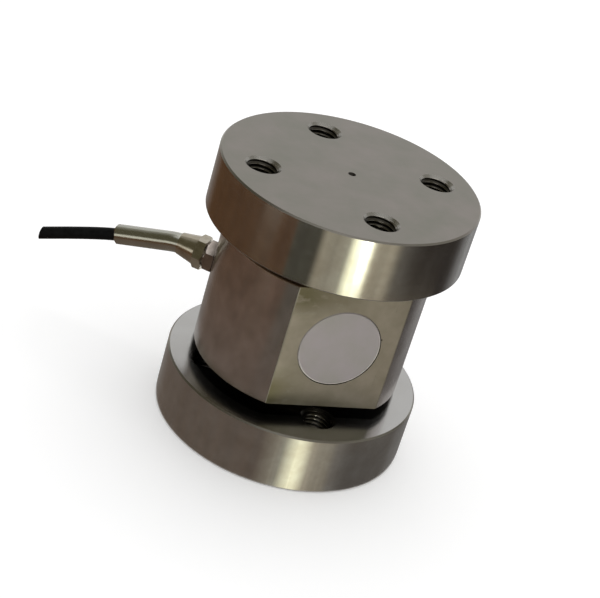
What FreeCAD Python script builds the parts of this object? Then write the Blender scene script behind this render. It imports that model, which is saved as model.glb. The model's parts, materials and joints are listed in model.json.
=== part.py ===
import FreeCAD, Part
import math
import os

# Column load cell: a one-piece steel element with a bolting flange at each end, gauge pockets in
# its two flats, a cable gland on its side and a short length of cable.
# Millimetres, +Z up along the load axis. The origin is the centre of the lower bolting face.
# The front flat faces -Y and the rear flat +Y.

# Steel element
FLANGE_DIAMETER = 100.0
FLANGE_THICKNESS = 24.0
LOWER_GROOVE_HEIGHT = 5.0
UPPER_GROOVE_HEIGHT = 5.7
COLUMN_DIAMETER = 82.0
COLUMN_HEIGHT = 51.3
FLAT_DEPTH = 6.75
FLAT_EDGE_ROUND = 0.8
RIM_CHAMFER = 0.6
COLUMN_CHAMFER = 0.3
NECK_FILLET = 1.5
WEB_THICKNESS = 10.0

# Tapped holes, M12 on a circle, and the turning centres
THREAD_DIAMETER = 12.0
HOLE_COUNT = 4
HOLE_EDGE_DISTANCE = 15.0
HOLE_CHAMFER = 0.9
NECK_TO_HOLE = 2.1
CENTRE_MARK_DIAMETER = 3.0
CENTRE_MARK_DEPTH = 2.4

# Pocket covers and their seals
COVER_DIAMETER = 32.0
COVER_THICKNESS = 1.5
COVER_CHAMFER = 0.35
COVER_GAP = 0.2
SEAL_THICKNESS = 0.5
SEAL_WIDTH = 1.8
SEAL_GAP = 0.3
LEDGE_WIDTH = 2.5

# Gauges, circuit board and terminal strip on the web
GAUGE_LENGTH = 6.5
GAUGE_WIDTH = 3.6
GAUGE_THICKNESS = 0.15
GAUGE_GAP = 1.0
GAUGE_LEAD_DIAMETER = 0.4
GAUGE_LEAD_SPACING = 1.6
BOARD_WIDTH = 6.5
BOARD_HEIGHT = 11.0
BOARD_THICKNESS = 1.0
STRIP_THICKNESS = 0.6
BOARD_WALL_GAP = 0.6
RESISTOR_LENGTH = 2.0
RESISTOR_WIDTH = 1.2
RESISTOR_HEIGHT = 0.5
RESISTOR_PITCH = 3.6
RESISTOR_COUNT = 3
WEB_HOLE_DIAMETER = 4.0
WEB_HOLE_WALL = 2.0
CROSSOVER_DIAMETER = 0.5
CROSSOVER_COUNT = 4
CROSSOVER_PITCH = 1.5
CROSSOVER_SPREAD = 1.6
CROSSOVER_RISE = 0.7

# Cable, and its route in the upright plane of the gland: distance out from the nut's nose, and height
CABLE_DIAMETER = 5.0
CABLE_ROUTE = [(0.75, 0.0), (26.05, -7.3), (42.35, -13.8), (57.45, -20.5)]
CABLE_ARC_SHARE = 0.45
JACKET_WALL = 0.65
SHIELD_THICKNESS = 0.2
LAYER_CLEARANCE = 0.02
CORE_GAP = 0.1
JACKET_INSET = 4.0
SHIELD_TAIL = 1.0
CORE_FAN_LENGTH = 2.5
CORE_PAD_PITCH = 2.6
CORE_PAD_INSET = 2.4
CORE_PAD_STAGGER = 0.9
CORE_PAD_DROP = 1.5

# Strain relief sleeve on the cable
SLEEVE_CLEARANCE = 0.35
SLEEVE_WALL = 1.15
SLEEVE_COLLAR_THICKNESS = 1.2
SLEEVE_COLLAR_STEP = 0.8
SLEEVE_BEND_RADIUS = 25.0
SLEEVE_END_CHAMFER = 0.5

# Cable gland, at mid-height on a radius of the column, turned from the rear flat towards -X
GLAND_ANGLE = 53.0
SEAT_MARGIN = 0.6
SEAT_DEPTH = 0.9
SHANK_WALL = 1.25
SHANK_LENGTH = 9.0
CABLE_BORE_CLEARANCE = 0.25
WIRE_BORE_DIAMETER = 5.0
THREAD_CLEARANCE = 0.05
NUT_WALL = 0.95
HEX_CHAMFER = 0.5
GLAND_HEX_LENGTH = 3.8
GLAND_HEX_TURN = 0.0
SPIGOT_LENGTH = 4.2
SPIGOT_WALL = 1.4
RING_THICKNESS = 1.0
RING_WIDTH = 1.9
GROMMET_LENGTH = 5.2
GROMMET_PROUD = 0.4
THRUST_THICKNESS = 0.8
NUT_GAP = 1.05
NUT_HEX_LENGTH = 3.9
NUT_HEX_TURN = 30.0
NUT_CORNER_CHAMFER = 0.55
NOSE_LENGTH = 7.5
NOSE_STEP = 0.1
NOSE_WALL = 0.15
NOSE_CLEARANCE = 0.2

# Worked out from the sizes above
V = FreeCAD.Vector
UP = V(0, 0, 1)
OVERCUT = 1.0

height = 2 * FLANGE_THICKNESS + LOWER_GROOVE_HEIGHT + COLUMN_HEIGHT + UPPER_GROOVE_HEIGHT
mid_z = height / 2
flange_radius = FLANGE_DIAMETER / 2
column_radius = COLUMN_DIAMETER / 2
column_bottom = FLANGE_THICKNESS + LOWER_GROOVE_HEIGHT
column_top = column_bottom + COLUMN_HEIGHT
flat_y = column_radius - FLAT_DEPTH
hole_circle_radius = flange_radius - HOLE_EDGE_DISTANCE
neck_radius = hole_circle_radius - THREAD_DIAMETER / 2 - HOLE_CHAMFER - NECK_TO_HOLE
web_y = WEB_THICKNESS / 2
cover_radius = COVER_DIAMETER / 2
recess_radius = cover_radius + COVER_GAP
recess_depth = COVER_THICKNESS + SEAL_THICKNESS
pocket_radius = cover_radius - LEDGE_WIDTH

board_left = -math.sqrt((pocket_radius - BOARD_WALL_GAP) ** 2 - (BOARD_HEIGHT / 2) ** 2)
board_right = board_left + BOARD_WIDTH
gauge_x = board_right + GAUGE_GAP + GAUGE_LENGTH / 2
web_hole_z = mid_z + pocket_radius - WEB_HOLE_WALL - WEB_HOLE_DIAMETER / 2
axial_gauge_z = web_hole_z - WEB_HOLE_DIAMETER / 2 - GAUGE_GAP - GAUGE_LENGTH / 2
cross_gauge_z = axial_gauge_z - GAUGE_LENGTH / 2 - GAUGE_GAP - GAUGE_WIDTH / 2

# Radii of the cable, the sleeve and the gland, from the cable outwards
cable_radius = CABLE_DIAMETER / 2
jacket_bore_radius = cable_radius - JACKET_WALL
shield_radius = jacket_bore_radius - LAYER_CLEARANCE
core_room = shield_radius - SHIELD_THICKNESS - LAYER_CLEARANCE
core_radius = (core_room - CORE_GAP / math.sqrt(2)) / (1 + math.sqrt(2))
core_offset = core_radius + CORE_GAP / 2
cable_bore_radius = cable_radius + CABLE_BORE_CLEARANCE
shank_radius = cable_bore_radius + SHANK_WALL
sleeve_bore_radius = cable_radius + SLEEVE_CLEARANCE
sleeve_radius = sleeve_bore_radius + SLEEVE_WALL
nose_bore_radius = sleeve_radius + NOSE_CLEARANCE
spigot_radius = nose_bore_radius + SLEEVE_COLLAR_STEP
grommet_radius = spigot_radius - SPIGOT_WALL
nut_bore_radius = spigot_radius + THREAD_CLEARANCE
hex_flat = nut_bore_radius + NUT_WALL
hex_corner = hex_flat * 2 / math.sqrt(3)
seat_radius = hex_corner + SEAT_MARGIN

# Stations along the gland's axis, measured out from the column's centre line
gland_angle = math.radians(90 + GLAND_ANGLE)
gland_out = V(math.cos(gland_angle), math.sin(gland_angle), 0)
gland_side = V(-math.sin(gland_angle), math.cos(gland_angle), 0)
gland_centre = V(0, 0, mid_z)
wire_bore_end = (pocket_radius - WIRE_BORE_DIAMETER / 2) / abs(gland_out.x)
seat = column_radius - SEAT_DEPTH
hex_start = seat + RING_THICKNESS
hex_end = hex_start + GLAND_HEX_LENGTH
spigot_end = hex_end + SPIGOT_LENGTH
shank_start = seat - SHANK_LENGTH
grommet_end = spigot_end + GROMMET_PROUD
grommet_start = grommet_end - GROMMET_LENGTH
collar_start = grommet_end + THRUST_THICKNESS
collar_end = collar_start + SLEEVE_COLLAR_THICKNESS
nut_start = hex_end + NUT_GAP
nose_start = nut_start + NUT_HEX_LENGTH
nose_end = nose_start + NOSE_LENGTH
jacket_start = shank_start + JACKET_INSET
shield_start = jacket_start - SHIELD_TAIL


def cylinder(origin, direction, start, end, radius):
    """A solid round bar between two stations along an axis."""
    return Part.makeCylinder(radius, end - start, origin + direction * start, direction)


def tube(origin, direction, start, end, outer, inner):
    """A round tube between two stations along an axis."""
    bore = cylinder(origin, direction, start - OVERCUT, end + OVERCUT, inner)
    return cylinder(origin, direction, start, end, outer).cut(bore)


def turned(origin, direction, side, outline):
    """A turned solid from its half outline, given as (station, radius) points."""
    points = [origin + direction * station + side * radius for station, radius in outline]
    face = Part.Face(Part.makePolygon(points + points[:1]))
    return face.revolve(origin, direction, 360)


def block(low, high):
    """A box from its lowest and highest corners."""
    low, high = V(*low), V(*high)
    return Part.makeBox(high.x - low.x, high.y - low.y, high.z - low.z, low)


def hexagon(start, end, corner_turn):
    """A hexagonal bar along the gland's axis, with a corner turned from straight up by some degrees."""
    foot = gland_centre + gland_out * start
    points = []
    for k in range(7):
        turn = math.radians(corner_turn + 60 * k)
        points.append(foot + (UP * math.cos(turn) + gland_side * math.sin(turn)) * hex_corner)
    return Part.Face(Part.makePolygon(points)).extrude(gland_out * (end - start))


def bent_path(points, radii):
    """A wire of straight runs joined by tangent arcs of the given radii at the inner points."""
    edges = []
    here = points[0]
    for before, corner, after, radius in zip(points, points[1:], points[2:], radii):
        inward = (before - corner).normalize()
        onward = (after - corner).normalize()
        half_turn = (math.pi - inward.getAngle(onward)) / 2
        reach = radius * math.tan(half_turn)
        middle = (inward + onward).normalize()
        arc_start = corner + inward * reach
        arc_end = corner + onward * reach
        arc_middle = corner + middle * (radius / math.cos(half_turn) - radius)
        edges.append(Part.LineSegment(here, arc_start).toShape())
        edges.append(Part.Arc(arc_start, arc_middle, arc_end).toShape())
        here = arc_end
    edges.append(Part.LineSegment(here, points[-1]).toShape())
    return Part.Wire(edges)


def wire_along(path, radius, offset=V(0, 0, 0)):
    """A round wire of one radius along a path, set off from it sideways."""
    start = path.Edges[0]
    place = start.valueAt(start.FirstParameter) + offset
    circle = Part.Circle(place, start.tangentAt(start.FirstParameter), radius)
    return path.makePipeShell([Part.Wire(circle.toShape())], True, False)


def largest_radii(points):
    """The arc radius at each inner point that takes up the stated share of its shorter run."""
    radii = []
    for before, corner, after in zip(points, points[1:], points[2:]):
        shorter = min((before - corner).Length, (after - corner).Length)
        half_turn = (math.pi - (before - corner).getAngle(after - corner)) / 2
        radii.append(CABLE_ARC_SHARE * shorter / math.tan(half_turn))
    return radii


def on_gland_plane(station, z):
    """A point in the upright plane through the gland's axis."""
    return gland_out * station + UP * z


def end_outline(groove_height):
    """Half outline of a flange, its neck and the column edge: distance from the end face, radius."""
    rim = RIM_CHAMFER
    edge = COLUMN_CHAMFER
    column_end = FLANGE_THICKNESS + groove_height
    return [
        (0, 0), (0, flange_radius - rim), (rim, flange_radius),
        (FLANGE_THICKNESS - rim, flange_radius), (FLANGE_THICKNESS, flange_radius - rim),
        (FLANGE_THICKNESS, neck_radius), (column_end, neck_radius),
        (column_end, column_radius - edge), (column_end + edge, column_radius),
    ]


def spring_element():
    """The one-piece body: flange, neck, column, neck, flange, with its flats, pockets and holes."""
    upper = [(height - z, radius) for z, radius in reversed(end_outline(UPPER_GROOVE_HEIGHT))]
    body = turned(V(0, 0, 0), UP, V(1, 0, 0), end_outline(LOWER_GROOVE_HEIGHT) + upper)
    neck_corners = [e for e in body.Edges
                    if isinstance(e.Curve, Part.Circle) and abs(e.Curve.Radius - neck_radius) < 1e-6]
    body = body.makeFillet(NECK_FILLET, neck_corners)
    body = body.cut([flat_cutter(side) for side in (-1, 1)])
    flat_corners = [e for e in body.Edges
                    if isinstance(e.Curve, Part.Line) and abs(abs(e.CenterOfMass.y) - flat_y) < 1e-6
                    and e.BoundBox.ZLength > COLUMN_HEIGHT / 2]
    body = body.makeFillet(FLAT_EDGE_ROUND, flat_corners)
    cuts = bolt_hole_cutters() + centre_mark_cutters() + gland_cutters()
    for side in (-1, 1):
        cuts += pocket_cutters(side)
    cuts.append(cylinder(V(gauge_x, 0, web_hole_z), V(0, 1, 0), -web_y - OVERCUT, web_y + OVERCUT,
                         WEB_HOLE_DIAMETER / 2))
    return body.cut(cuts)


def bolt_hole_cutters():
    """Round cutters for the tapped holes of both flanges, chamfered at both ends."""
    radius = THREAD_DIAMETER / 2
    wide = radius + HOLE_CHAMFER + OVERCUT
    outline = [
        (-OVERCUT, 0), (-OVERCUT, wide), (HOLE_CHAMFER, radius),
        (FLANGE_THICKNESS - HOLE_CHAMFER, radius), (FLANGE_THICKNESS + OVERCUT, wide),
        (FLANGE_THICKNESS + OVERCUT, 0),
    ]
    cutters = []
    for base in (0, height - FLANGE_THICKNESS):
        for k in range(HOLE_COUNT):
            turn = 2 * math.pi * k / HOLE_COUNT
            foot = V(hole_circle_radius * math.cos(turn), hole_circle_radius * math.sin(turn), base)
            cutters.append(turned(foot, UP, V(1, 0, 0), outline))
    return cutters


def centre_mark_cutters():
    """The conical turning centres in the two end faces."""
    radius = CENTRE_MARK_DIAMETER / 2
    lower = Part.makeCone(radius, 0, CENTRE_MARK_DEPTH, V(0, 0, 0), UP)
    upper = Part.makeCone(radius, 0, CENTRE_MARK_DEPTH, V(0, 0, height), -UP)
    return [lower, upper]


def flat_cutter(side):
    """What the flat of the front (-1) or the rear (+1) takes off the column."""
    reach = column_radius + OVERCUT
    near, far = sorted((side * flat_y, side * reach))
    return block((-reach, near, column_bottom), (reach, far, column_top))


def pocket_cutters(side):
    """The cover's recess and the gauge pocket of the front (-1) or the rear (+1)."""
    outward = V(0, side, 0)
    centre = V(0, 0, mid_z)
    recess = cylinder(centre, outward, flat_y - recess_depth, flat_y + OVERCUT, recess_radius)
    pocket = cylinder(centre, outward, web_y, flat_y, pocket_radius)
    return [recess, pocket]


def gland_cutters():
    """The gland's flat seat and tapped bore, and the wire bore on to the rear pocket."""
    seat_cut = cylinder(gland_centre, gland_out, seat, column_radius + OVERCUT, seat_radius)
    tapped = cylinder(gland_centre, gland_out, shank_start - THREAD_CLEARANCE, column_radius,
                      shank_radius + THREAD_CLEARANCE)
    wires = cylinder(gland_centre, gland_out, wire_bore_end, shank_start, WIRE_BORE_DIAMETER / 2)
    return [seat_cut, tapped, wires]


def cover(side):
    """A round cover, flush with its flat, with a small edge chamfer."""
    outside = flat_y
    inside = outside - COVER_THICKNESS
    outline = [
        (inside, 0), (inside, cover_radius), (outside - COVER_CHAMFER, cover_radius),
        (outside, cover_radius - COVER_CHAMFER), (outside, 0),
    ]
    return turned(V(0, 0, mid_z), V(0, side, 0), V(1, 0, 0), outline)


def cover_seal(side):
    """The flat seal between a cover and its ledge."""
    outer = recess_radius - SEAL_GAP
    ledge = flat_y - recess_depth
    return tube(V(0, 0, mid_z), V(0, side, 0), ledge, ledge + SEAL_THICKNESS, outer, outer - SEAL_WIDTH)


def on_web(side, low_x, high_x, low_z, high_z, thickness, base=0.0):
    """A thin flat piece that lies on the web's front (-1) or rear (+1) face."""
    near, far = sorted((side * (web_y + base), side * (web_y + base + thickness)))
    return block((low_x, near, low_z), (high_x, far, high_z))


def gauge(side, centre_z, width, length):
    """A strain gauge of the given width along X and length along Z."""
    return on_web(side, gauge_x - width / 2, gauge_x + width / 2,
                  centre_z - length / 2, centre_z + length / 2, GAUGE_THICKNESS)


def board(side, thickness):
    """The circuit board or the terminal strip beside the gauges."""
    low_z = mid_z - BOARD_HEIGHT / 2
    return on_web(side, board_left, board_right, low_z, low_z + BOARD_HEIGHT, thickness)


def trim_resistors():
    """The balance resistors in a row down the board's edge next to the gauges."""
    right = board_right - RESISTOR_WIDTH / 2
    chips = []
    for k in range(RESISTOR_COUNT):
        centre_z = mid_z + RESISTOR_PITCH * (k - (RESISTOR_COUNT - 1) / 2)
        chips.append(on_web(1, right - RESISTOR_WIDTH, right, centre_z - RESISTOR_LENGTH / 2,
                            centre_z + RESISTOR_LENGTH / 2, RESISTOR_HEIGHT, BOARD_THICKNESS))
    return Part.makeCompound(chips)


def gauge_leads(side):
    """Fine wires on the web from both gauges to the board or strip beside them."""
    radius = GAUGE_LEAD_DIAMETER / 2
    leads = []
    for centre_z, width in ((axial_gauge_z, GAUGE_WIDTH), (cross_gauge_z, GAUGE_LENGTH)):
        for step in (-0.5, 0.5):
            foot = V(0, side * (web_y + radius), centre_z + step * GAUGE_LEAD_SPACING)
            leads.append(cylinder(foot, V(1, 0, 0), board_right, gauge_x - width / 2, radius))
    return Part.makeCompound(leads)


def crossover_leads():
    """Wires from the board's top edge through the web to the terminal strip's top edge, in rows of two."""
    rear = web_y + BOARD_THICKNESS / 2
    front = -web_y - STRIP_THICKNESS / 2
    top = mid_z + BOARD_HEIGHT / 2
    bend = top + CROSSOVER_RISE
    middle_x = (board_left + board_right) / 2
    leads = []
    for k in range(CROSSOVER_COUNT):
        x = middle_x + CROSSOVER_PITCH * (k - (CROSSOVER_COUNT - 1) / 2)
        hole_x = gauge_x + CROSSOVER_SPREAD * (k % 2 - 0.5)
        hole_z = web_hole_z + CROSSOVER_SPREAD * (0.5 - k // 2)
        points = [V(x, rear, top), V(x, rear, bend), V(hole_x, rear, hole_z),
                  V(hole_x, front, hole_z), V(x, front, bend), V(x, front, top)]
        leads.append(wire_along(bent_path(points, [CROSSOVER_DIAMETER] * 4), CROSSOVER_DIAMETER / 2))
    return Part.makeCompound(leads)


def gland_body():
    """The gland's body: threaded shank, hexagon, and the spigot that takes the nut and the grommet."""
    shank = cylinder(gland_centre, gland_out, shank_start, hex_end, shank_radius)
    trim = turned(gland_centre, gland_out, UP, [
        (hex_start, 0), (hex_start, hex_corner - HEX_CHAMFER), (hex_start + HEX_CHAMFER, hex_corner),
        (hex_end - HEX_CHAMFER, hex_corner), (hex_end, hex_corner - HEX_CHAMFER), (hex_end, 0),
    ])
    collar = hexagon(hex_start, hex_end, GLAND_HEX_TURN).common(trim)
    spigot = cylinder(gland_centre, gland_out, hex_start, spigot_end, spigot_radius)
    bore = cylinder(gland_centre, gland_out, shank_start - OVERCUT, spigot_end + OVERCUT, cable_bore_radius)
    socket = cylinder(gland_centre, gland_out, grommet_start, spigot_end + OVERCUT, grommet_radius)
    return shank.fuse([collar, spigot]).removeSplitter().cut([bore, socket])


def gland_ring():
    """The sealing ring between the gland's hexagon and its seat."""
    inner = shank_radius + THREAD_CLEARANCE
    return tube(gland_centre, gland_out, seat, hex_start, inner + RING_WIDTH, inner)


def gland_grommet():
    """The rubber grommet that the nut squeezes onto the cable."""
    return tube(gland_centre, gland_out, grommet_start, grommet_end, grommet_radius, cable_radius)


def thrust_washer():
    """The washer between the grommet and the sleeve's collar."""
    return tube(gland_centre, gland_out, grommet_end, collar_start, spigot_radius, cable_bore_radius)


def gland_nut():
    """The hexagon nut with its long tapered nose."""
    trim = turned(gland_centre, gland_out, UP, [
        (nut_start, 0), (nut_start, hex_corner - HEX_CHAMFER), (nut_start + HEX_CHAMFER, hex_corner),
        (nose_start - NUT_CORNER_CHAMFER, hex_corner), (nose_start, hex_flat - NOSE_STEP),
        (nose_end, nose_bore_radius + NOSE_WALL), (nose_end, 0),
    ])
    solid = hexagon(nut_start, nose_end, NUT_HEX_TURN).common(trim)
    threaded = cylinder(gland_centre, gland_out, nut_start - OVERCUT, collar_end, nut_bore_radius)
    mouth = cylinder(gland_centre, gland_out, collar_end, nose_end + OVERCUT, nose_bore_radius)
    return solid.cut([threaded, mouth])


def cable_points(start):
    """The cable's route from a station inside the gland to its cut end."""
    free = [on_gland_plane(nose_end + out, mid_z + rise) for out, rise in CABLE_ROUTE]
    return [on_gland_plane(start, mid_z)] + free


def cable_path(start):
    """The cable's centre line, run on past its end, which is trimmed plumb afterwards."""
    points = cable_points(start)
    radii = [SLEEVE_BEND_RADIUS] + largest_radii(points)[1:]
    points[-1] = points[-1] + (points[-1] - points[-2]).normalize() * CABLE_DIAMETER
    return bent_path(points, radii)


def trim_end(shape):
    """The cable's end cut in an upright plane across the gland's axis."""
    out, rise = CABLE_ROUTE[-1]
    stop = nose_end + out
    length = 3 * CABLE_DIAMETER
    return shape.cut(cylinder(gland_centre + UP * rise, gland_out, stop, stop + length, length))


def strain_sleeve():
    """The metal sleeve on the cable: bent down at its root, with a collar that the nut holds."""
    points = cable_points(collar_end)[:3]
    mouth = points[2]
    path = bent_path(points, [SLEEVE_BEND_RADIUS])
    skin = wire_along(path, sleeve_radius)
    last = (points[2] - points[1]).normalize()
    corner = sleeve_radius - SLEEVE_END_CHAMFER
    ring = turned(mouth, last, gland_side, [
        (-SLEEVE_END_CHAMFER, sleeve_radius), (0, corner), (0, sleeve_radius + OVERCUT),
        (-SLEEVE_END_CHAMFER, sleeve_radius + OVERCUT),
    ])
    collar = cylinder(gland_centre, gland_out, collar_start, collar_end, spigot_radius)
    long_points = [on_gland_plane(collar_start - OVERCUT, mid_z), points[1], mouth + last * OVERCUT]
    bore = wire_along(bent_path(long_points, [SLEEVE_BEND_RADIUS]), sleeve_bore_radius)
    return skin.cut(ring).fuse(collar).removeSplitter().cut(bore)


def cable_jacket():
    """The cable's outer jacket."""
    path = cable_path(jacket_start)
    return trim_end(wire_along(path, cable_radius).cut(wire_along(path, jacket_bore_radius)))


def cable_shield():
    """The braided shield under the jacket."""
    path = cable_path(shield_start)
    return trim_end(wire_along(path, shield_radius).cut(wire_along(path, shield_radius - SHIELD_THICKNESS)))


def cable_core(row, column):
    """One insulated core: through the cable, along the wire bore and down to its pad on the board."""
    offset = (gland_side * column + UP * row) * core_offset
    bundle = trim_end(wire_along(cable_path(shank_start), core_radius, offset))
    pad_x = board_left + CORE_PAD_INSET - column * CORE_PAD_STAGGER
    pad_z = mid_z + (row + 0.5 * column) * CORE_PAD_PITCH
    pad = V(pad_x, web_y + BOARD_THICKNESS, pad_z)
    points = [
        on_gland_plane(shank_start, mid_z) + offset,
        on_gland_plane(wire_bore_end + CORE_FAN_LENGTH, mid_z) + offset,
        pad + V(0, CORE_PAD_DROP, 0),
        pad,
    ]
    tail = wire_along(bent_path(points, [2 * core_radius] * 2), core_radius)
    return bundle.fuse(tail).removeSplitter()


def build():
    """All pieces, by node name."""
    return {
        "spring_element": spring_element(),
        "front_cover": cover(-1),
        "rear_cover": cover(1),
        "front_cover_seal": cover_seal(-1),
        "rear_cover_seal": cover_seal(1),
        "front_axial_gauge": gauge(-1, axial_gauge_z, GAUGE_WIDTH, GAUGE_LENGTH),
        "front_cross_gauge": gauge(-1, cross_gauge_z, GAUGE_LENGTH, GAUGE_WIDTH),
        "rear_axial_gauge": gauge(1, axial_gauge_z, GAUGE_WIDTH, GAUGE_LENGTH),
        "rear_cross_gauge": gauge(1, cross_gauge_z, GAUGE_LENGTH, GAUGE_WIDTH),
        "front_terminal_strip": board(-1, STRIP_THICKNESS),
        "bridge_board": board(1, BOARD_THICKNESS),
        "trim_resistors": trim_resistors(),
        "front_gauge_leads": gauge_leads(-1),
        "rear_gauge_leads": gauge_leads(1),
        "crossover_leads": crossover_leads(),
        "gland_ring": gland_ring(),
        "gland_body": gland_body(),
        "gland_grommet": gland_grommet(),
        "thrust_washer": thrust_washer(),
        "gland_nut": gland_nut(),
        "strain_sleeve": strain_sleeve(),
        "cable_jacket": cable_jacket(),
        "cable_shield": cable_shield(),
        "core_red": cable_core(1, 1),
        "core_black": cable_core(1, -1),
        "core_green": cable_core(-1, 1),
        "core_white": cable_core(-1, -1),
    }


def main():
    """Writes every piece to its own file and prints what the cable's route measures."""
    os.makedirs("parts", exist_ok=True)
    for name, shape in build().items():
        shape.exportStep(f"parts/{name}.step")
    points = cable_points(jacket_start)
    radii = [SLEEVE_BEND_RADIUS] + largest_radii(points)[1:]
    print("cable arc radii", [round(radius, 1) for radius in radii])
    print("cable length", round(cable_path(jacket_start).Length - CABLE_DIAMETER, 2))


main()
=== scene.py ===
import json
import math

import bmesh
import bpy
from mathutils import Matrix, Vector


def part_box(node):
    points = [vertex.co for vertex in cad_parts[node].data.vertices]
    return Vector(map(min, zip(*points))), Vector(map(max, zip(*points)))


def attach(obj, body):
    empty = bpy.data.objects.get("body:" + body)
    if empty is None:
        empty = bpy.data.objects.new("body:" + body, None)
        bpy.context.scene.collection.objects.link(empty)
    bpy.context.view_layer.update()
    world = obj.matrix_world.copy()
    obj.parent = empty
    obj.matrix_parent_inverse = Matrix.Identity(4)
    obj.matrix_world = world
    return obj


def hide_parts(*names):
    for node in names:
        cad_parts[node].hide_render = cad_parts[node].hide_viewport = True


# Column load cell: finishes, threads, cable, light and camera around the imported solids.
# Metres, in the solids' own frame: +Z up, origin at the centre of the lower bolting face.

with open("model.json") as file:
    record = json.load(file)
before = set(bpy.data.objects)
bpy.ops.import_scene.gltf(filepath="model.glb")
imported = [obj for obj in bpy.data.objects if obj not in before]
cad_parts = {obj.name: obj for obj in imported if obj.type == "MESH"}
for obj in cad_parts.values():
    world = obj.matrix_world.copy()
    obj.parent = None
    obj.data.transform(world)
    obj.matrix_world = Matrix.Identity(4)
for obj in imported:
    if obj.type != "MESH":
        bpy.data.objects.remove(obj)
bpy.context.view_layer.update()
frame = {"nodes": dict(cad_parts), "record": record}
nodes = frame["nodes"]
mounts = {mount["name"]: mount for mount in frame["record"]["mounts"]}
MM = 0.001

# Sizes that the finishes and threads need, from the solids
element_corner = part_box("spring_element")[1]
FLANGE_RADIUS = element_corner.x
HEIGHT = element_corner.z
MID_Z = HEIGHT / 2
HOLE_RADIUS = mounts["top_bolt_right"]["dims"]["r_mm"] * MM
HOLE_CIRCLE_RADIUS = mounts["top_bolt_right"]["pos_m"][0]
HOLE_COUNT = sum(name.startswith("top_bolt") for name in mounts)
FLAT_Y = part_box("rear_cover")[1].y
COVER_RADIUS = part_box("front_cover")[1].x
FLANGE_THICKNESS = 0.024
COLUMN_RADIUS = 0.041
HOLE_CHAMFER = 0.0009
GROOVE_HEIGHT = 0.0058
MARK_RADIUS = 0.0018
COVER_RECESS = 0.0021

# How far a facet may be from a surface, and how much it may lean, to count as part of it
FACE_GAP = 0.0001
END_FACE_GAP = 0.0005
ROUND_GAP = 0.0008
SQUARE_ON = 0.999
NEARLY_LEVEL = 0.9
HALF_LEVEL = 0.5
SLOPING = 0.3

# Surface relief, and the turn that lays the gloss along the turning marks
METAL_RELIEF_DEPTH = 0.00003
PLAIN_RELIEF_DEPTH = 0.00005
TURNED_GLOSS_TURN = 0.25
TURNED_GRAIN = (40, 40, 4000)

# Painted shade in the grooves above and below the column, and where the column shades the ledges
PAINTED_SHADE_AND_NICK_COLOUR = (0.065, 0.058, 0.050)
UPPER_GROOVE_PAINTED_SHADE = (0.26, 0.18, 0.12)
GROOVE_LIGHT_SHARE = 1.3
GROOVE_SHADE = (0.0004, -0.0006)

# Painted highlight on the chamfer along the lower half of a cover, broken up unevenly
COVER_EDGE_HIGHLIGHT = (0.85, 0.82, 0.76)
COVER_EDGE_INSET = (0.0006, 0.0004)
COVER_EDGE_SLANT = 0.4
COVER_EDGE_FADE = (0.005, -0.004)
HIGHLIGHT_BREAK_SCALE = 420.0
HIGHLIGHT_BREAK_RANGE = (0.40, 0.54)
HIGHLIGHT_BREAK_SHARES = (0.45, 1.0)

# Dark patches in two corners of a flat, as ranges of height and of X: painted shade under the upper flange at
# the top, and darker towards the bottom at the foot; and a nick beside the cover
DARK_BAND_COLOUR = (0.19, 0.176, 0.12)
TOP_SHADE_BAND = ((0.0660, 0.0750), (0.008, -0.019))
LOW_DARK_BAND = ((0.0460, 0.0370), (-0.008, -0.022))
DARK_BAND_STRETCH = (1, 1, 2)
DARK_BAND_SHIFT = (0.013, 0, 0)
DARK_BAND_SCALE = 150.0
DARK_BAND_RANGE = (0.15, 0.45)
NICK_ANGLE = math.radians(18.7)
NICK_RADIUS = 0.0003

# Screw thread in the bolt holes: its profile as shares of the pitch and of the depth
THREAD_PITCH = 0.00175
THREAD_DEPTH = 0.00095
THREAD_SEGMENTS = 48
THREAD_ROOT_GAP = 0.00001
THREAD_PROFILE = ((-0.48, 0.0), (-0.22, 0.75), (-0.12, 0.97), (0.02, 0.97), (0.15, 0.84), (0.48, 0.0))
THREAD_CREST_SIDES = (2, 3)

# Cable: the route in the upright plane of the gland, distance from the axis and height
GLAND_ANGLE = math.radians(143.0)
CABLE_RADIUS = 0.0025
JACKET_WALL = 0.00065
CABLE_ROUTE = [(0.0351, 0.055), (0.0581, 0.055), (0.0834, 0.0477), (0.0997, 0.0412), (0.1148, 0.0345)]
CABLE_SEGMENTS = 32
ROUTE_RESOLUTION = 24
ROUTE_ORDER = 3
INSULATION_DARK_SHARE = 0.8

# Camera, solved from the photograph's edges
CAMERA_AZIMUTH = math.radians(-25.53)
CAMERA_ELEVATION = math.radians(28.65)
CAMERA_ROLL = math.radians(17.3)
CAMERA_DISTANCE = 0.6507
CAMERA_AIM_RIGHT = -0.0051
CAMERA_LENS = 101.45
SENSOR_WIDTH = 36.0

# Light: the room's level, the floor's own glow, and one soft light
ROOM_LIGHT = 0.73
FLOOR_GLOW = 0.22
FLOOR_REACH = 6.0
FLOOR_COLOUR = (0.93, 0.93, 0.93, 1)
SOFTBOX_PLACE = (0.4, 0.6, 2.4)
SOFTBOX_AIM = (0, 0, 0.05)
SOFTBOX_SIDE = 2.0
SOFTBOX_POWER = 16.0
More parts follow.
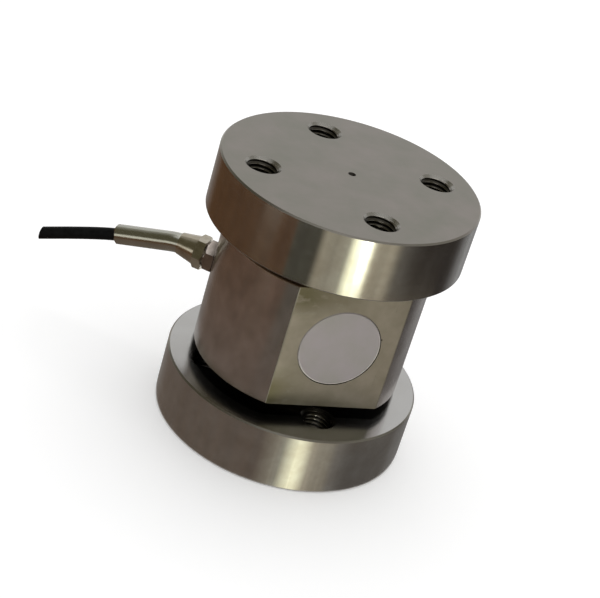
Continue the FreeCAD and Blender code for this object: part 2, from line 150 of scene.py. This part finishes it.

# Glowing cards that only reflections see, which paint the reflections in the steel. A wall that faces phi
# degrees mirrors, for the camera, twice that angle plus the turn. Distances are from the wall for the floor's
# cards, and from the axis for the others.
MIRROR_TURN = 115.5
CARD_INNER_RADIUS = 0.0505
CARD_LIFT = 0.0004
CARD_STEP = 0.5
CARD_LEAST_STEPS = 2
NEAR_CARD_REACH = 0.045
NEAR_CARD_LIFT = (0.125, 0.118, 0.110)
FAR_CARD_START = 0.15
CARD_REACH = 0.55
FLAT_CARD_FACING = (-118, -56)
FLAT_CARD_SPAN = (0.0455, 0.145)
FLAT_CARD_GLOW = (0.39, 0.35, 0.28)
WIDE_STREAK = 0.09
WIDE_STREAK_RATE = 0.9
FINE_STREAK = 0.07
FINE_STREAK_RATE = 2.3
FINE_STREAK_SHIFT = 1
SIDE_WALL = 0.56
SIDE_WALL_FOOT = (0.0, 0.12)
SIDE_WALL_HEIGHTS = (0.12, 0.90)
FRONT_WALL = 0.57
FRONT_WALL_FOOT = (0.0, 0.20)
FRONT_WALL_HEIGHTS = (0.20, 0.80)

# Sockets of a Mix node that blends colours
MIX_FIRST = 6
MIX_SECOND = 7
MIX_RESULT = 2


def gland_point(station, z):
    """A point in the upright plane through the gland's axis."""
    return Vector((math.cos(GLAND_ANGLE) * station, math.sin(GLAND_ANGLE) * station, z))


def even(scale):
    """The same scale along all three axes."""
    return (scale, scale, scale)


def shaded(colour, share):
    """A colour with each channel multiplied by a share."""
    return tuple(share * channel for channel in colour)


def new_object(name, data):
    """An object in the scene."""
    piece = bpy.data.objects.new(name, data)
    bpy.context.scene.collection.objects.link(piece)
    return piece


def new_material(name):
    """A new material, its node tree and its surface shader."""
    material = bpy.data.materials.new(name)
    material.use_nodes = True
    tree = material.node_tree
    shader = tree.nodes["Principled BSDF"]
    return material, tree, shader


def set_values(node, **values):
    """Sets input sockets by name, with underscores for spaces."""
    for name, value in values.items():
        node.inputs[name.replace("_", " ")].default_value = value
    return node


def place_coordinates(tree):
    """The surface's place in the object's own frame."""
    return tree.nodes.new("ShaderNodeTexCoord").outputs["Object"]


def stretched(tree, coordinates, scale, shift=(0, 0, 0)):
    """Coordinates scaled by a different amount along each axis and then shifted."""
    mapping = tree.nodes.new("ShaderNodeMapping")
    set_values(mapping, Scale=scale, Location=shift)
    tree.links.new(coordinates, mapping.inputs["Vector"])
    return mapping.outputs["Vector"]


def noise(tree, coordinates, scale, detail=3.0, roughness=0.55):
    """A noise pattern from 0 to 1."""
    node = tree.nodes.new("ShaderNodeTexNoise")
    set_values(node, Scale=scale, Detail=detail, Roughness=roughness)
    tree.links.new(coordinates, node.inputs["Vector"])
    return node.outputs["Fac"]


def ramp(tree, factor, low_colour, high_colour, start=0.3, end=0.7):
    """A blend between two colours by a pattern."""
    node = tree.nodes.new("ShaderNodeValToRGB")
    first, last = node.color_ramp.elements
    first.position, first.color = start, (*low_colour, 1)
    last.position, last.color = end, (*high_colour, 1)
    tree.links.new(factor, node.inputs["Fac"])
    return node.outputs["Color"]


def spread(tree, factor, low_value, high_value):
    """A pattern from 0 to 1 mapped to a range of values."""
    node = tree.nodes.new("ShaderNodeMapRange")
    set_values(node, To_Min=low_value, To_Max=high_value)
    tree.links.new(factor, node.inputs["Value"])
    return node.outputs["Result"]


def step(tree, value, start, end):
    """A blend from 0 to 1 while a value goes from start to end."""
    node = tree.nodes.new("ShaderNodeMapRange")
    set_values(node, From_Min=start, From_Max=end)
    tree.links.new(value, node.inputs["Value"])
    return node.outputs["Result"]


def math_node(tree, operation, first, second=None):
    """One arithmetic step on a pattern, with a number or another pattern."""
    node = tree.nodes.new("ShaderNodeMath")
    node.operation = operation
    tree.links.new(first, node.inputs[0])
    if isinstance(second, float):
        node.inputs[1].default_value = second
    elif second is not None:
        tree.links.new(second, node.inputs[1])
    return node.outputs["Value"]


def separate(tree, place):
    """The X, Y and Z of a place."""
    node = tree.nodes.new("ShaderNodeSeparateXYZ")
    tree.links.new(place, node.inputs["Vector"])
    return node.outputs


def length_of(tree, vector):
    """The length of a vector."""
    node = tree.nodes.new("ShaderNodeVectorMath")
    node.operation = "LENGTH"
    tree.links.new(vector, node.inputs[0])
    return node.outputs["Value"]


def bump(tree, shader, height, strength, distance):
    """Fine relief on the shader's normal."""
    node = tree.nodes.new("ShaderNodeBump")
    set_values(node, Strength=strength, Distance=distance)
    tree.links.new(height, node.inputs["Height"])
    tree.links.new(node.outputs["Normal"], shader.inputs["Normal"])


def around_axis(tree, shader, turn):
    """Tool marks that run round the Z axis: the tangent, turned by a share of a full turn."""
    tangent = tree.nodes.new("ShaderNodeTangent")
    tangent.direction_type = "RADIAL"
    tangent.axis = "Z"
    tree.links.new(tangent.outputs["Tangent"], shader.inputs["Tangent"])
    shader.inputs["Anisotropic Rotation"].default_value = turn


def recolour(tree, mask, colour, other):
    """A colour that gives way to another one where the mask is 1."""
    mix = tree.nodes.new("ShaderNodeMix")
    mix.data_type = "RGBA"
    mix.inputs[MIX_SECOND].default_value = (*other, 1)
    tree.links.new(mask, mix.inputs["Factor"])
    tree.links.new(colour, mix.inputs[MIX_FIRST])
    return mix.outputs[MIX_RESULT]


def shade_under_column(tree, place, colour):
    """Paints shade over the part of a flange face that the column covers."""
    from_axis = length_of(tree, stretched(tree, place, (1, 1, 0)))
    past_wall = math_node(tree, "SUBTRACT", from_axis, COLUMN_RADIUS)
    sideways = math_node(tree, "ABSOLUTE", separate(tree, place)["Y"])
    past_flat = math_node(tree, "SUBTRACT", sideways, FLAT_Y)
    past = math_node(tree, "MAXIMUM", past_wall, past_flat)
    return recolour(tree, step(tree, past, *GROOVE_SHADE), colour, PAINTED_SHADE_AND_NICK_COLOUR)


def cover_edge_highlight(tree, place, colour):
    """Paints a highlight on a cover's chamfer along its lower half, unevenly."""
    from_axis = length_of(tree, stretched(tree, place, (1, 0, 1), (0, 0, -MID_Z)))
    edge = step(tree, from_axis, *(COVER_RADIUS - inset for inset in COVER_EDGE_INSET))
    across = separate(tree, place)
    slant = math_node(tree, "MULTIPLY", across["X"], COVER_EDGE_SLANT)
    slanted = math_node(tree, "SUBTRACT", across["Z"], slant)
    low_half = step(tree, slanted, *(MID_Z + fade for fade in COVER_EDGE_FADE))
    broken_up = spread(tree, step(tree, noise(tree, place, HIGHLIGHT_BREAK_SCALE), *HIGHLIGHT_BREAK_RANGE), *HIGHLIGHT_BREAK_SHARES)
    mask = math_node(tree, "MULTIPLY", math_node(tree, "MULTIPLY", edge, low_half), broken_up)
    return recolour(tree, mask, colour, COVER_EDGE_HIGHLIGHT)


def corner_band(tree, across, z_range, x_range):
    """A mask that grows towards one corner of a flat."""
    return math_node(tree, "MULTIPLY", step(tree, across["Z"], *z_range), step(tree, across["X"], *x_range))


def dark_bands_and_nick(tree, place, colour):
    """Uneven dark patches in two corners of a flat: a wide one at the top, painted shade under the upper
    flange, and a narrow one that makes the flat darker towards the bottom; and a nick beside the cover."""
    across = separate(tree, place)
    top_band = corner_band(tree, across, *TOP_SHADE_BAND)
    low_band = corner_band(tree, across, *LOW_DARK_BAND)
    bands = math_node(tree, "MAXIMUM", top_band, low_band)
    pattern = noise(tree, stretched(tree, place, DARK_BAND_STRETCH, DARK_BAND_SHIFT), DARK_BAND_SCALE)
    patches = step(tree, pattern, *DARK_BAND_RANGE)
    colour = recolour(tree, math_node(tree, "MULTIPLY", bands, patches), colour, DARK_BAND_COLOUR)
    nick = Vector((math.cos(NICK_ANGLE), 0, math.sin(NICK_ANGLE))) * (COVER_RADIUS + NICK_RADIUS)
    from_nick = length_of(tree, stretched(tree, place, (1, 0, 1), (-nick.x, 0, -MID_Z - nick.z)))
    return recolour(tree, step(tree, from_nick, 2 * NICK_RADIUS, NICK_RADIUS / 2), colour, PAINTED_SHADE_AND_NICK_COLOUR)


def metal(name, dark, light, roughness, grain_scale, anisotropic=0.0, mottling=35.0, relief=0.01, marks=None):
    """Bare steel: mottled colour with marks, uneven roughness and fine tool marks along the grain."""
    material, tree, shader = new_material(name)
    set_values(shader, Metallic=1.0, Anisotropic=anisotropic)
    if anisotropic:
        around_axis(tree, shader, TURNED_GLOSS_TURN)
    place = place_coordinates(tree)
    blotches = noise(tree, place, mottling)
    colour = ramp(tree, blotches, dark, light)
    if marks:
        colour = marks(tree, place, colour)
    tree.links.new(colour, shader.inputs["Base Color"])
    grain = noise(tree, stretched(tree, place, grain_scale), 1.0, detail=2.0)
    tree.links.new(spread(tree, grain, *roughness), shader.inputs["Roughness"])
    bump(tree, shader, grain, relief, METAL_RELIEF_DEPTH)
    return material


def plain(name, dark, light, roughness, scale, relief=0.1, metallic=0.0, specular=0.5, marks=None):
    """An even finish such as plastic, rubber or film: slightly uneven colour and a fine surface."""
    material, tree, shader = new_material(name)
    set_values(shader, Metallic=metallic, Specular_IOR_Level=specular)
    place = place_coordinates(tree)
    pattern = noise(tree, place, scale)
    colour = ramp(tree, pattern, dark, light)
    if marks:
        colour = marks(tree, place, colour)
    tree.links.new(colour, shader.inputs["Base Color"])
    tree.links.new(spread(tree, pattern, *roughness), shader.inputs["Roughness"])
    bump(tree, shader, pattern, relief, PLAIN_RELIEF_DEPTH)
    return material


def element_materials():
    """The finishes of the one-piece steel element, by region; the grooves, bores and centre marks carry
    painted shade.
    """
    groove_light = shaded(PAINTED_SHADE_AND_NICK_COLOUR, GROOVE_LIGHT_SHARE)
    upper_groove_light = shaded(UPPER_GROOVE_PAINTED_SHADE, GROOVE_LIGHT_SHARE)
    return {
        "rim": metal("turned_rim", (0.445, 0.42, 0.39), (0.52, 0.51, 0.49), (0.15, 0.19),
                     TURNED_GRAIN, anisotropic=0.8, mottling=150.0),
        "column": metal("satin_column", (0.45, 0.41, 0.385), (0.59, 0.545, 0.53), (0.20, 0.25),
                        TURNED_GRAIN, anisotropic=0.8, mottling=130.0),
        "top": metal("ground_face", (0.240, 0.232, 0.196), (0.285, 0.258, 0.232), (0.28, 0.34),
                     even(3000), mottling=70.0),
        "ledge": metal("turned_ledge", (0.50, 0.49, 0.47), (0.57, 0.565, 0.55), (0.18, 0.24),
                       even(2500), marks=shade_under_column),
        "flat": metal("milled_flat", (0.40, 0.38, 0.335), (0.50, 0.475, 0.44), (0.26, 0.32),
                      (3000, 3000, 60), mottling=130.0, marks=dark_bands_and_nick),
        # painted shade: the lower groove's facets are near black, the upper groove's dark brown
        "groove": metal("groove_painted_shade", PAINTED_SHADE_AND_NICK_COLOUR, groove_light, (0.35, 0.45), even(2000)),
        "upper_groove": metal("upper_groove_painted_shade", UPPER_GROOVE_PAINTED_SHADE, upper_groove_light, (0.35, 0.45),
                              even(2000)),
        "edge": metal("deburred_edge", (0.28, 0.265, 0.24), (0.34, 0.325, 0.30), (0.30, 0.38), even(2000)),
        # painted shade: the bores' walls are coloured near black for the shade inside them
        "hole": metal("hole_painted_shade", (0.07, 0.065, 0.055), (0.10, 0.095, 0.08), (0.25, 0.32), even(2000)),
        "countersink": metal("countersink", (0.30, 0.29, 0.26), (0.38, 0.365, 0.335), (0.24, 0.30),
                             even(2000)),
        # painted shade: the centre drill's cone is coloured near black
        "mark": metal("centre_mark_painted_shade", (0.05, 0.045, 0.04), (0.08, 0.075, 0.07), (0.35, 0.45), even(2000)),
    }


def element_region(centre, normal):
    """Which finish a facet of the steel element has, from its place and the way it faces."""
    radius = math.hypot(centre.x, centre.y)
    end_gap = min(centre.z, HEIGHT - centre.z)
    lean = abs(normal.z)
    groove = "upper_groove" if centre.z > MID_Z else "groove"
    if radius < MARK_RADIUS and end_gap < FLANGE_THICKNESS / 2:
        return "mark" if end_gap > FACE_GAP else "top"
    if lean > NEARLY_LEVEL:
        if end_gap < END_FACE_GAP:
            return "top"
        return "ledge" if end_gap < FLANGE_THICKNESS + MM else groove
    if radius > FLANGE_RADIUS - ROUND_GAP:
        return "top" if lean > SLOPING else "rim"
    if abs(normal.y) > SQUARE_ON and abs(abs(centre.y) - FLAT_Y) < FACE_GAP:
        return "flat"
    if abs(radius - COLUMN_RADIUS) < ROUND_GAP and end_gap > FLANGE_THICKNESS:
        if lean > SLOPING:
            return groove
        return "column" if abs(normal.x * centre.x + normal.y * centre.y) > SQUARE_ON * radius else "edge"
    if abs(centre.y) > FLAT_Y - COVER_RECESS and math.hypot(centre.x, centre.z - MID_Z) < COVER_RADIUS + MM:
        return "countersink"
    if radius < COLUMN_RADIUS and FLANGE_THICKNESS < end_gap < FLANGE_THICKNESS + GROOVE_HEIGHT:
        return groove
    # countersinks on the inner faces, under the column, take the bores' painted shade
    return "countersink" if lean > HALF_LEVEL and end_gap < FLANGE_THICKNESS / 2 else "hole"


def dress_element():
    """The steel element with a finish of its own on each region."""
    mesh = nodes["spring_element"].data.copy()
    piece = new_object("element_body", mesh)
    mesh.materials.clear()
    index = {}
    for k, (region, material) in enumerate(element_materials().items()):
        mesh.materials.append(material)
        index[region] = k
    for facet in mesh.polygons:
        facet.material_index = index[element_region(facet.center, facet.normal)]
    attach(piece, "root")
    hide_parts("spring_element")


def thread_mesh(mesh, foot, start, end):
    """Adds one helical thread ridge on a bore's wall, cut at both ends by the countersinks' cones."""
    steps = round(((end - start) / THREAD_PITCH + 1) * THREAD_SEGMENTS)
    rings = []
    for k in range(steps + 1):
        angle = 2 * math.pi * k / THREAD_SEGMENTS
        middle = start + THREAD_PITCH * (k / THREAD_SEGMENTS - 0.5)
        ring = []
        for lift, depth in THREAD_PROFILE:
            z = min(max(middle + lift * THREAD_PITCH, start), end)
            height = min(depth * THREAD_DEPTH, z - start, end - z)
            radius = HOLE_RADIUS + THREAD_ROOT_GAP - height
            place = foot + Vector((radius * math.cos(angle), radius * math.sin(angle), z))
            ring.append(mesh.verts.new(place))
        rings.append(ring)
    for here, there in zip(rings, rings[1:]):
        for side in range(len(here) - 1):
            facet = mesh.faces.new((here[side], here[side + 1], there[side + 1], there[side]))
            facet.smooth = True
            facet.material_index = int(side in THREAD_CREST_SIDES)


def bolt_threads():
    """The screw threads of all bolt holes in both flanges."""
    # painted shade: the thread flanks are coloured near black for the shade inside the holes
    flank = metal("thread_flank_painted_shade", (0.045, 0.04, 0.032), (0.065, 0.06, 0.048), (0.28, 0.36), even(2000))
    crest = metal("thread_crest", (0.22, 0.205, 0.18), (0.27, 0.255, 0.225), (0.12, 0.18), even(2000))
    mesh = bmesh.new()
    for base in (0.0, HEIGHT - FLANGE_THICKNESS):
        for k in range(HOLE_COUNT):
            turn = 2 * math.pi * k / HOLE_COUNT
            foot = Vector((math.cos(turn), math.sin(turn), 0)) * HOLE_CIRCLE_RADIUS
            thread_mesh(mesh, foot, base + HOLE_CHAMFER, base + FLANGE_THICKNESS - HOLE_CHAMFER)
    data = bpy.data.meshes.new("bolt_hole_threads")
    mesh.to_mesh(data)
    mesh.free()
    piece = new_object("bolt_hole_threads", data)
    data.materials.append(flank)
    data.materials.append(crest)
    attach(piece, "root")


def route_curve():
    """The cable's centre line as a smooth spline with the route's points as its control points."""
    curve = bpy.data.curves.new("cable_route", "CURVE")
    curve.dimensions = "3D"
    curve.resolution_u = ROUTE_RESOLUTION
    spline = curve.splines.new("NURBS")
    spline.points.add(len(CABLE_ROUTE) - 1)
    for point, (station, z) in zip(spline.points, CABLE_ROUTE):
        point.co = (*gland_point(station, z), 1)
    spline.order_u = ROUTE_ORDER
    spline.use_endpoint_u = True
    return curve


def curve_points(curve):
    """The points along a curve with no thickness."""
    carrier = bpy.data.objects.new("cable_route", curve)
    line = bpy.data.meshes.new_from_object(carrier)
    points = [vertex.co.copy() for vertex in line.vertices]
    bpy.data.objects.remove(carrier)
    bpy.data.meshes.remove(line)
    return points


def cable():
    """The cable's jacket: a tube along the smooth route, cut plumb at its far end."""
    material = plain("jacket_black", (0.003, 0.003, 0.0032), (0.006, 0.006, 0.0063), (0.45, 0.55), 600.0,
                     specular=0.07)
    points = curve_points(route_curve())
    out = gland_point(1.0, 0.0)
    side = Vector((-out.y, out.x, 0))
    mesh = bmesh.new()
    walls = []
    for radius in (CABLE_RADIUS, CABLE_RADIUS - JACKET_WALL):
        rings = []
        for k, point in enumerate(points):
            before, after = points[max(k - 1, 0)], points[min(k + 1, len(points) - 1)]
            along = (after - before).normalized()
            over = side.cross(along)
            ring = []
            for j in range(CABLE_SEGMENTS):
                angle = 2 * math.pi * j / CABLE_SEGMENTS
                place = point + (side * math.cos(angle) + over * math.sin(angle)) * radius
                if k == len(points) - 1:
                    place += along * ((point - place).dot(out) / along.dot(out))
                ring.append(mesh.verts.new(place))
            rings.append(ring)
        walls.append(rings)
    outer, inner = walls
    for j in range(CABLE_SEGMENTS):
        n = (j + 1) % CABLE_SEGMENTS
        for a, b in zip(outer, outer[1:]):
            mesh.faces.new((a[j], a[n], b[n], b[j]))
        for a, b in zip(inner, inner[1:]):
            mesh.faces.new((a[n], a[j], b[j], b[n]))
        mesh.faces.new((outer[-1][j], outer[-1][n], inner[-1][n], inner[-1][j]))
        mesh.faces.new((inner[0][j], inner[0][n], outer[0][n], outer[0][j]))
    bmesh.ops.recalc_face_normals(mesh, faces=mesh.faces)
    data = bpy.data.meshes.new("cable_cord")
    mesh.to_mesh(data)
    mesh.free()
    for facet in data.polygons:
        facet.use_smooth = True
    piece = new_object("cable_cord", data)
    data.materials.append(material)
    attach(piece, "root")
    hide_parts("cable_jacket")


def dress_nodes():
    """Finishes of the nodes that keep their own mesh."""
    cover = plain("cover_face", (0.385, 0.366, 0.348), (0.425, 0.386, 0.402), (0.55, 0.65), 110.0,
                  relief=0.02, metallic=0.4, marks=cover_edge_highlight)
    rubber = plain("seal_rubber", (0.012, 0.012, 0.013), (0.025, 0.025, 0.026), (0.55, 0.70), 900.0)
    film = plain("gauge_film", (0.45, 0.22, 0.05), (0.62, 0.34, 0.10), (0.25, 0.40), 1500.0)
    laminate = plain("board_laminate", (0.02, 0.12, 0.05), (0.04, 0.20, 0.09), (0.30, 0.45), 700.0)
    ceramic = plain("resistor_ceramic", (0.012, 0.012, 0.014), (0.03, 0.03, 0.033), (0.40, 0.55), 1500.0)
    copper = plain("lead_copper", (0.60, 0.26, 0.13), (0.75, 0.38, 0.22), (0.20, 0.32), 1500.0, metallic=1.0)
    nickel = metal("gland_nickel", (0.42, 0.375, 0.29), (0.54, 0.495, 0.405), (0.16, 0.24), even(2500),
                   mottling=300.0)
    # painted shade: the gland body has a darker copy of the nut's nickel
    nickel_painted_shade = metal("gland_body_nickel_painted_shade", (0.26, 0.225, 0.20), (0.38, 0.335, 0.30), (0.20, 0.28),
                        even(2500), mottling=300.0)
    polished = metal("sleeve_steel", (0.46, 0.455, 0.40), (0.52, 0.515, 0.455), (0.16, 0.22), even(3000),
                     mottling=200.0)
    braid = metal("shield_braid", (0.50, 0.47, 0.44), (0.66, 0.62, 0.58), (0.25, 0.40), even(4000))
    finishes = {
        "front_cover": cover, "rear_cover": cover,
        "front_cover_seal": rubber, "rear_cover_seal": rubber, "gland_ring": rubber, "gland_grommet": rubber,
        "front_axial_gauge": film, "front_cross_gauge": film,
        "rear_axial_gauge": film, "rear_cross_gauge": film,
        "front_terminal_strip": laminate, "bridge_board": laminate, "trim_resistors": ceramic,
        "front_gauge_leads": copper, "rear_gauge_leads": copper, "crossover_leads": copper,
        "gland_body": nickel_painted_shade, "gland_nut": nickel, "thrust_washer": nickel,
        "strain_sleeve": polished, "cable_shield": braid,
    }
    insulation = {"core_red": (0.50, 0.02, 0.02), "core_black": (0.012, 0.012, 0.012),
                  "core_green": (0.02, 0.26, 0.06), "core_white": (0.76, 0.76, 0.74)}
    for name, colour in insulation.items():
        darker = shaded(colour, INSULATION_DARK_SHARE)
        finishes[name] = plain(name, darker, colour, (0.35, 0.45), 1200.0)
    for name, material in finishes.items():
        mesh = nodes[name].data
        mesh.materials.clear()
        mesh.materials.append(material)


def card_material(name):
    """A glow that follows the colours stored on a sheet's corners."""
    material = bpy.data.materials.new(name)
    material.use_nodes = True
    tree = material.node_tree
    tree.nodes.clear()
    shade = tree.nodes.new("ShaderNodeVertexColor")
    shade.layer_name = "glow"
    glow = tree.nodes.new("ShaderNodeEmission")
    out = tree.nodes.new("ShaderNodeOutputMaterial")
    tree.links.new(shade.outputs["Color"], glow.inputs["Color"])
    tree.links.new(glow.outputs["Emission"], out.inputs["Surface"])
    return material


def card_sheet(name, rows):
    """A glowing sheet through rows of points and glows, that only reflections see."""
    mesh = bmesh.new()
    shade = mesh.verts.layers.float_color.new("glow")
    lines = []
    for row in rows:
        line = []
        for place, glow in row:
            corner = mesh.verts.new(place)
            corner[shade] = (*glow, 1)
            line.append(corner)
        lines.append(line)
    for here, there in zip(lines, lines[1:]):
        for side in range(len(here) - 1):
            mesh.faces.new((here[side], here[side + 1], there[side + 1], there[side]))
    data = bpy.data.meshes.new(name)
    mesh.to_mesh(data)
    mesh.free()
    card = new_object(name, data)
    data.materials.append(card_material(name))
    card.visible_camera = False
    card.visible_diffuse = False
    card.visible_shadow = False
    card.visible_transmission = False


def card_steps(start, end):
    """How many strips a card between two angles is cut into."""
    return max(CARD_LEAST_STEPS, round((end - start) / CARD_STEP))


def mirrored_floor(phi, reach, lift=CARD_LIFT):
    """The floor point at a distance from the object that a wall facing phi mirrors to the camera."""
    angle = math.radians(phi)
    away = math.radians(2 * phi + MIRROR_TURN)
    return Vector((math.cos(angle) * CARD_INNER_RADIUS + math.cos(away) * reach,
                   math.sin(angle) * CARD_INNER_RADIUS + math.sin(away) * reach, lift))


def streak(phi):
    """A small uneven share of more or less glow, as a room full of things has."""
    return (1 + WIDE_STREAK * math.sin(WIDE_STREAK_RATE * phi)
            + FINE_STREAK * math.sin(FINE_STREAK_RATE * phi + FINE_STREAK_SHIFT))


def floor_card(name, far, near, first, last, shares=(0.5, 0.5), near_first=None, near_last=None):
    """A card laid on the floor, fanned out from the object. Its two sides show on the upper walls at the far
    angles and on the lower rim at the near ones, where it glows less and may have other colours."""
    steps = card_steps(*far)
    rows = []
    for k in range(steps + 1):
        far_phi, near_phi, share = (side[0] + (side[1] - side[0]) * k / steps for side in (far, near, shares))
        glow = Vector(first).lerp(Vector(last), k / steps) * streak(far_phi)
        near_base = Vector(near_first or first).lerp(Vector(near_last or last), k / steps)
        near_glow = near_base * streak(far_phi) * share + Vector(NEAR_CARD_LIFT)
        rows.append([(mirrored_floor(near_phi, 0.0), near_glow),
                     (mirrored_floor(near_phi, NEAR_CARD_REACH), near_glow),
                     (mirrored_floor(far_phi, FAR_CARD_START), glow),
                     (mirrored_floor(far_phi, CARD_REACH), glow)])
    card_sheet(name, rows)


def flat_card():
    """A card over the others where the front flat looks, which paints the flat's reflection."""
    rows = []
    for phi in range(*FLAT_CARD_FACING):
        rows.append([(mirrored_floor(phi, reach, 2 * CARD_LIFT), FLAT_CARD_GLOW) for reach in FLAT_CARD_SPAN])
    card_sheet("flat_card", rows)


def wall_card(name, start, end, distance, heights, first, last=None):
    """A card standing round part of the object, between two azimuths and two heights."""
    steps = card_steps(start, end)
    rows = []
    for k in range(steps + 1):
        angle = math.radians(start + (end - start) * k / steps)
        glow = Vector(first).lerp(Vector(last or first), k / steps)
        out = Vector((math.cos(angle), math.sin(angle), 0)) * distance
        rows.append([(out + Vector((0, 0, height)), glow) for height in heights])
    card_sheet(name, rows)


def floor_cards():
    """Painted reflections of the room's lower half: brown and dark sides, and pale cards on both sides of a
    window.
    """
    grey = (0.37, 0.36, 0.35)
    brown = (0.12, 0.062, 0.028)
    olive = (0.078, 0.076, 0.055)
    cream = (0.46, 0.42, 0.32)
    pale = (0.56, 0.51, 0.39)
    window = (2.75, 2.75, 2.0)
    dusk = (0.15, 0.14, 0.125)
    dark = (0.052, 0.045, 0.040)
    white = (0.36, 0.36, 0.36)
    floor_card("grey_card", (-206, -184), (-206, -184), grey, brown, (0.35, 0.5))
    floor_card("brown_card", (-184, -131), (-184, -139), brown, brown)
    floor_card("green_card", (-131, -120.5), (-139, -119), olive, olive, near_first=brown, near_last=brown)
    floor_card("pale_edge", (-120.5, -118.5), (-119, -111.5), olive, cream, (0.5, 0.6), near_first=brown)
    floor_card("pale_card_left", (-118.5, -107.8), (-111.5, -109), cream, (0.52, 0.50, 0.40), (0.6, 0.6))
    floor_card("window_left", (-107.8, -104.8), (-109, -102.5), (0.55, 0.54, 0.43), window, (0.6, 0.63))
    floor_card("window_card", (-104.8, -98.5), (-102.5, -101.5), window, window, (0.63, 0.63))
    floor_card("window_right", (-98.5, -96.5), (-101.5, -95.5), window, pale, (0.63, 0.8))
    floor_card("pale_card_right", (-96.5, -88.5), (-95.5, -88), pale, pale, (0.8, 0.45))
    floor_card("fading_card", (-88.5, -84), (-88, -84), pale, dusk, (0.45, 0.85))
    floor_card("dusk_card", (-84, -75), (-84, -76), dusk, dark, (0.85, 0.5))
    floor_card("dark_card", (-75, -53.5), (-76, -52), dark, dark)
    floor_card("white_card", (-53.5, -41), (-52, -41), dark, white, (0.5, 0.2))
    floor_card("side_card", (-41, -22), (-41, -22), white, (0.12, 0.12, 0.12), (0.2, 0.5))
    flat_card()


def wall_cards():
    """Painted reflections of the room's upper half: shaded and pale walls, and bright strips near the object
    and along the floor.
    """
    shade = (0.13, 0.12, 0.078)
    pale = (0.45, 0.44, 0.41)
    wall_card("left_wall", 112, 152, SIDE_WALL, SIDE_WALL_HEIGHTS, (0.40, 0.39, 0.35), shade)
    wall_card("shaded_wall", 152, 235, SIDE_WALL, SIDE_WALL_HEIGHTS, shade, (0.11, 0.10, 0.065))
    wall_card("pale_strip", 112, 235, SIDE_WALL, SIDE_WALL_FOOT, (0.97, 0.97, 0.97))
    wall_card("bright_strip", 188, 204, 0.30, (0.02, 0.115), (0.95, 0.93, 0.83))
    wall_card("green_wall", 235, 278, FRONT_WALL, FRONT_WALL_FOOT, (0.11, 0.10, 0.07), (0.11, 0.10, 0.065))
    wall_card("upper_wall_left", 235, 280, FRONT_WALL, FRONT_WALL_HEIGHTS, pale)
    wall_card("upper_wall_middle", 280, 312, FRONT_WALL, FRONT_WALL_HEIGHTS, (0.19, 0.18, 0.13))
    wall_card("upper_wall_right", 312, 370, FRONT_WALL, FRONT_WALL_HEIGHTS, pale)
    # painted glint: a small, very bright card that the bolt holes' threads mirror
    wall_card("window_strip", 267, 273, 0.165, (0.04, 0.109), (6.0, 6.0, 5.4))
    wall_card("olive_wall", 278, 370, FRONT_WALL, FRONT_WALL_FOOT, (0.11, 0.10, 0.055), (0.12, 0.11, 0.08))
    wall_card("back_strip", 20, 110, SIDE_WALL, (0.0, 0.10), (1.0, 1.0, 0.96))


def floor():
    """A plain pale floor that keeps the object's shadow, and looks a little brighter than it lights."""
    mesh = bpy.data.meshes.new("floor")
    corners = [(-FLOOR_REACH, -FLOOR_REACH, 0), (FLOOR_REACH, -FLOOR_REACH, 0),
               (FLOOR_REACH, FLOOR_REACH, 0), (-FLOOR_REACH, FLOOR_REACH, 0)]
    mesh.from_pydata(corners, [], [(0, 1, 2, 3)])
    ground = new_object("floor", mesh)
    material, tree, shader = new_material("floor_paint")
    set_values(shader, Base_Color=FLOOR_COLOUR, Roughness=0.9, Specular_IOR_Level=0.0,
               Emission_Color=(1, 1, 1, 1))
    ray = tree.nodes.new("ShaderNodeLightPath").outputs
    seen = math_node(tree, "ADD", ray["Is Camera Ray"], ray["Is Glossy Ray"])
    seen = math_node(tree, "ADD", seen, ray["Is Transmission Ray"])
    tree.links.new(spread(tree, seen, 0.0, FLOOR_GLOW), shader.inputs["Emission Strength"])
    mesh.materials.append(material)


def light_studio():
    """Soft light from the whole room and one large soft light above."""
    world = bpy.data.worlds.new("studio")
    world.use_nodes = True
    set_values(world.node_tree.nodes["Background"], Color=(1, 1, 1, 1), Strength=ROOM_LIGHT)
    bpy.context.scene.world = world
    data = bpy.data.lights.new("top_softbox", "AREA")
    data.shape = "RECTANGLE"
    data.size = SOFTBOX_SIDE
    data.size_y = SOFTBOX_SIDE
    data.energy = SOFTBOX_POWER
    light = new_object("top_softbox", data)
    light.location = SOFTBOX_PLACE
    light.rotation_euler = (Vector(SOFTBOX_AIM) - Vector(SOFTBOX_PLACE)).to_track_quat("-Z", "Y").to_euler()


def camera():
    """The camera at the photograph's viewing angle."""
    back = Vector((math.sin(CAMERA_AZIMUTH) * math.cos(CAMERA_ELEVATION),
                   -math.cos(CAMERA_AZIMUTH) * math.cos(CAMERA_ELEVATION),
                   math.sin(CAMERA_ELEVATION)))
    level = (-back).cross(Vector((0, 0, 1))).normalized()
    upright = level.cross(-back)
    right = level * math.cos(CAMERA_ROLL) + upright * math.sin(CAMERA_ROLL)
    up = upright * math.cos(CAMERA_ROLL) - level * math.sin(CAMERA_ROLL)
    target = Vector((0, 0, MID_Z))
    eye = target + back * CAMERA_DISTANCE
    aim = target + right * CAMERA_AIM_RIGHT
    backward = (eye - aim).normalized()
    right = up.cross(backward).normalized()
    up = backward.cross(right)
    data = bpy.data.cameras.new("camera")
    data.sensor_width = SENSOR_WIDTH
    data.lens = CAMERA_LENS
    view = new_object("camera", data)
    rotation = Matrix((right, up, backward)).transposed().to_4x4()
    view.matrix_world = Matrix.Translation(eye) @ rotation
    bpy.context.scene.camera = view


camera()
dress_element()
dress_nodes()
bolt_threads()
cable()
floor_cards()
wall_cards()
floor()
light_studio()
bpy.context.scene.view_settings.view_transform = "Standard"
